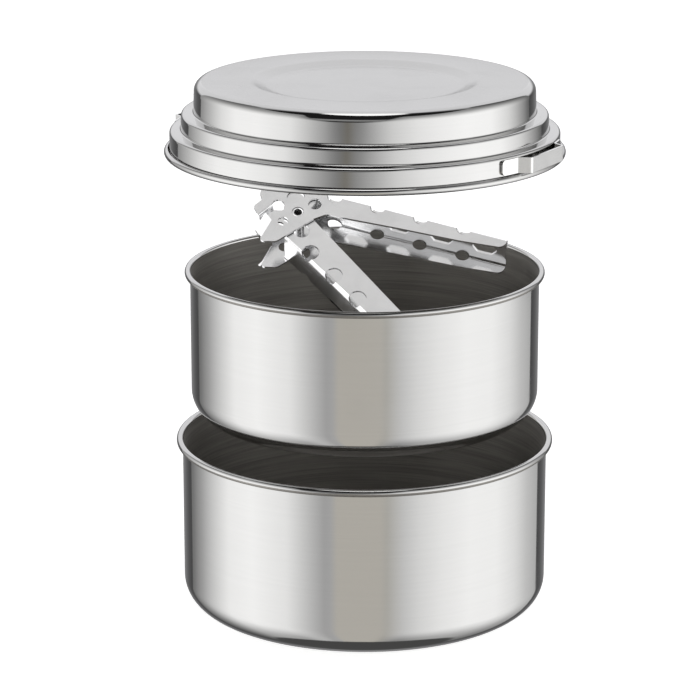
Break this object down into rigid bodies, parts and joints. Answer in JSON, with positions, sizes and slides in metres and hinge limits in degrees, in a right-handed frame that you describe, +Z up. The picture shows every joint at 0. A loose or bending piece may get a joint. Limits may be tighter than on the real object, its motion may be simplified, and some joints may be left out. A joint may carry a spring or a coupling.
{
  "type": "nesting camping cook set",
  "caption": "Nesting steel cook set for camping: a larger and a smaller pot, a stepped lid with lifting straps that fits either, and a perforated plier-type pot gripper.",
  "frame": {"origin": "centre of the large pot's base, on its underside", "axes": "+Z up along the common axis of both pots and the lid; -Y towards the viewer, +X to the viewer's right"},
  "size_m": [0.1902, 0.1902, 0.2582],
  "materials": {
    "pot_steel": "polished outside, brushed inside",
    "lid_steel": "polished walls, satin crown",
    "strap_steel": "polished",
    "gripper_aluminium": "satin"
  },
  "bodies": {
    "large_pot": {"large_pot": "pot_steel"},
    "small_pot": {"small_pot": "pot_steel"},
    "lid": {"lid_shell": "lid_steel", "lid_bracket_front": "strap_steel", "lid_bracket_back": "strap_steel"},
    "gripper": {"gripper_outer_arm": "gripper_aluminium", "gripper_pivot_rivet": "gripper_aluminium"},
    "gripper_inner": {"gripper_inner_arm": "gripper_aluminium"}
  },
  "joints": [
    {"name": "small_pot_lift", "type": "slide", "parent": "large_pot", "child": "small_pot", "axis": [0, 0, 1], "range_m": [-0.0934, 0.06]},
    {"name": "lid_lift", "type": "slide", "parent": "small_pot", "child": "lid", "axis": [0, 0, 1], "range_m": [-0.0568, 0.06]},
    {"name": "gripper_lift", "type": "slide", "parent": "small_pot", "child": "gripper", "axis": [0, 0, 1], "range_m": [-0.015, 0]},
    {"name": "gripper_squeeze", "type": "hinge", "parent": "gripper", "child": "gripper_inner", "pos_m": [-0.0325, 0.0375, 0.1786], "axis": [0, -0.6547, 0.7559], "range_deg": [0, 21]}
  ]
}
